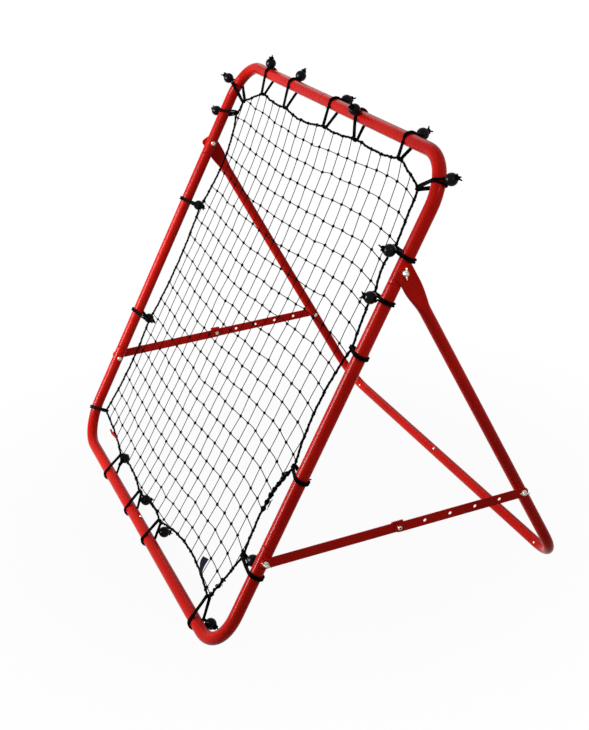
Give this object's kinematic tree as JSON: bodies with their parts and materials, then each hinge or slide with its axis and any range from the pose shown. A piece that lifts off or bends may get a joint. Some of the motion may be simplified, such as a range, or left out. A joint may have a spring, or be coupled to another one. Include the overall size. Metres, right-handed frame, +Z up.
{
  "type": "soccer rebounder",
  "caption": "Leaning tube frame with a knotted net held by elastic ball ties, a folding U-shaped rear leg and two adjustable flat struts",
  "frame": {"origin": "on the floor, under the middle of the object's outline", "axes": "+X to the right along the bars, +Y from the net side to the rear leg, +Z up"},
  "size_m": [1.0694, 0.7484, 0.9021],
  "materials": {
    "red_paint": "gloss powder coat",
    "zinc": "zinc plated",
    "elastic": "satin black",
    "border_cord": "braided cord",
    "twine": "knotted twine",
    "fabric": "woven tape"
  },
  "bodies": {
    "frame": {"border_cord": "border_cord", "bottom_corner_left": "red_paint", "bottom_corner_right": "red_paint", "bottom_joint_screw": "zinc", "fabric_tab": "fabric", "front_strut_bolt_left": "zinc", "front_strut_bolt_right": "zinc", "front_strut_wing_nut_left": "zinc", "front_strut_wing_nut_right": "zinc", "net": "twine", "pivot_bolt_left": "zinc", "pivot_bolt_right": "zinc", "pivot_wing_nut_left": "zinc", "pivot_wing_nut_right": "zinc", "side_tube_left": "red_paint", "side_tube_right": "red_paint", "tie_bottom_1": "elastic", "tie_bottom_2": "elastic", "tie_bottom_3": "elastic", "tie_bottom_4": "elastic", "tie_corner_left": "elastic", "tie_corner_right": "elastic", "tie_left_1": "elastic", "tie_left_2": "elastic", "tie_left_3": "elastic", "tie_left_4": "elastic", "tie_right_1": "elastic", "tie_right_2": "elastic", "tie_right_3": "elastic", "tie_right_4": "elastic", "tie_right_5": "elastic", "tie_top_1": "elastic", "tie_top_2": "elastic", "tie_top_3": "elastic", "tie_top_4": "elastic", "tie_top_5": "elastic", "top_corner_left": "red_paint", "top_corner_right": "red_paint", "top_joint_screw": "zinc"},
    "rear_leg": {"foot_joint_screw": "zinc", "foot_tube_left": "red_paint", "foot_tube_right": "red_paint", "leg_tube_left": "red_paint", "leg_tube_right": "red_paint", "rear_strut_bolt_left": "zinc", "rear_strut_bolt_right": "zinc", "rear_strut_wing_nut_left": "zinc", "rear_strut_wing_nut_right": "zinc"},
    "front_bar_left": {"adjusting_nut_left": "zinc", "adjusting_screw_left": "zinc", "strut_front_bar_left": "red_paint"},
    "front_bar_right": {"adjusting_nut_right": "zinc", "adjusting_screw_right": "zinc", "strut_front_bar_right": "red_paint"},
    "rear_bar_left": {"strut_rear_bar_left": "red_paint"},
    "rear_bar_right": {"strut_rear_bar_right": "red_paint"}
  },
  "joints": [
    {"name": "leg_fold", "type": "hinge", "parent": "frame", "child": "rear_leg", "pos_m": [0.00575, 0.02508, 0.68998], "axis": [-1, 0, 0], "range_deg": [0, 25]},
    {"name": "front_bar_turn_left", "type": "hinge", "parent": "frame", "child": "front_bar_left", "pos_m": [-0.51079, -0.2554, 0.19491], "axis": [-1, 0, 0], "range_deg": [0, 10.31]},
    {"name": "rear_bar_turn_left", "type": "hinge", "parent": "rear_leg", "child": "rear_bar_left", "pos_m": [-0.5136, 0.26633, 0.20575], "axis": [-1, 0, 0], "range_deg": [-14.71, 0]},
    {"name": "front_bar_turn_right", "type": "hinge", "parent": "frame", "child": "front_bar_right", "pos_m": [0.52231, -0.2554, 0.19491], "axis": [-1, 0, 0], "range_deg": [0, 10.31]},
    {"name": "rear_bar_turn_right", "type": "hinge", "parent": "rear_leg", "child": "rear_bar_right", "pos_m": [0.52511, 0.26633, 0.20575], "axis": [-1, 0, 0], "range_deg": [-14.71, 0]}
  ],
  "couplings": [
    {"joint": "front_bar_turn_left", "follows": "leg_fold", "ratio": 0.412},
    {"joint": "rear_bar_turn_left", "follows": "leg_fold", "ratio": -0.588},
    {"joint": "front_bar_turn_right", "follows": "leg_fold", "ratio": 0.412},
    {"joint": "rear_bar_turn_right", "follows": "leg_fold", "ratio": -0.588}
  ]
}
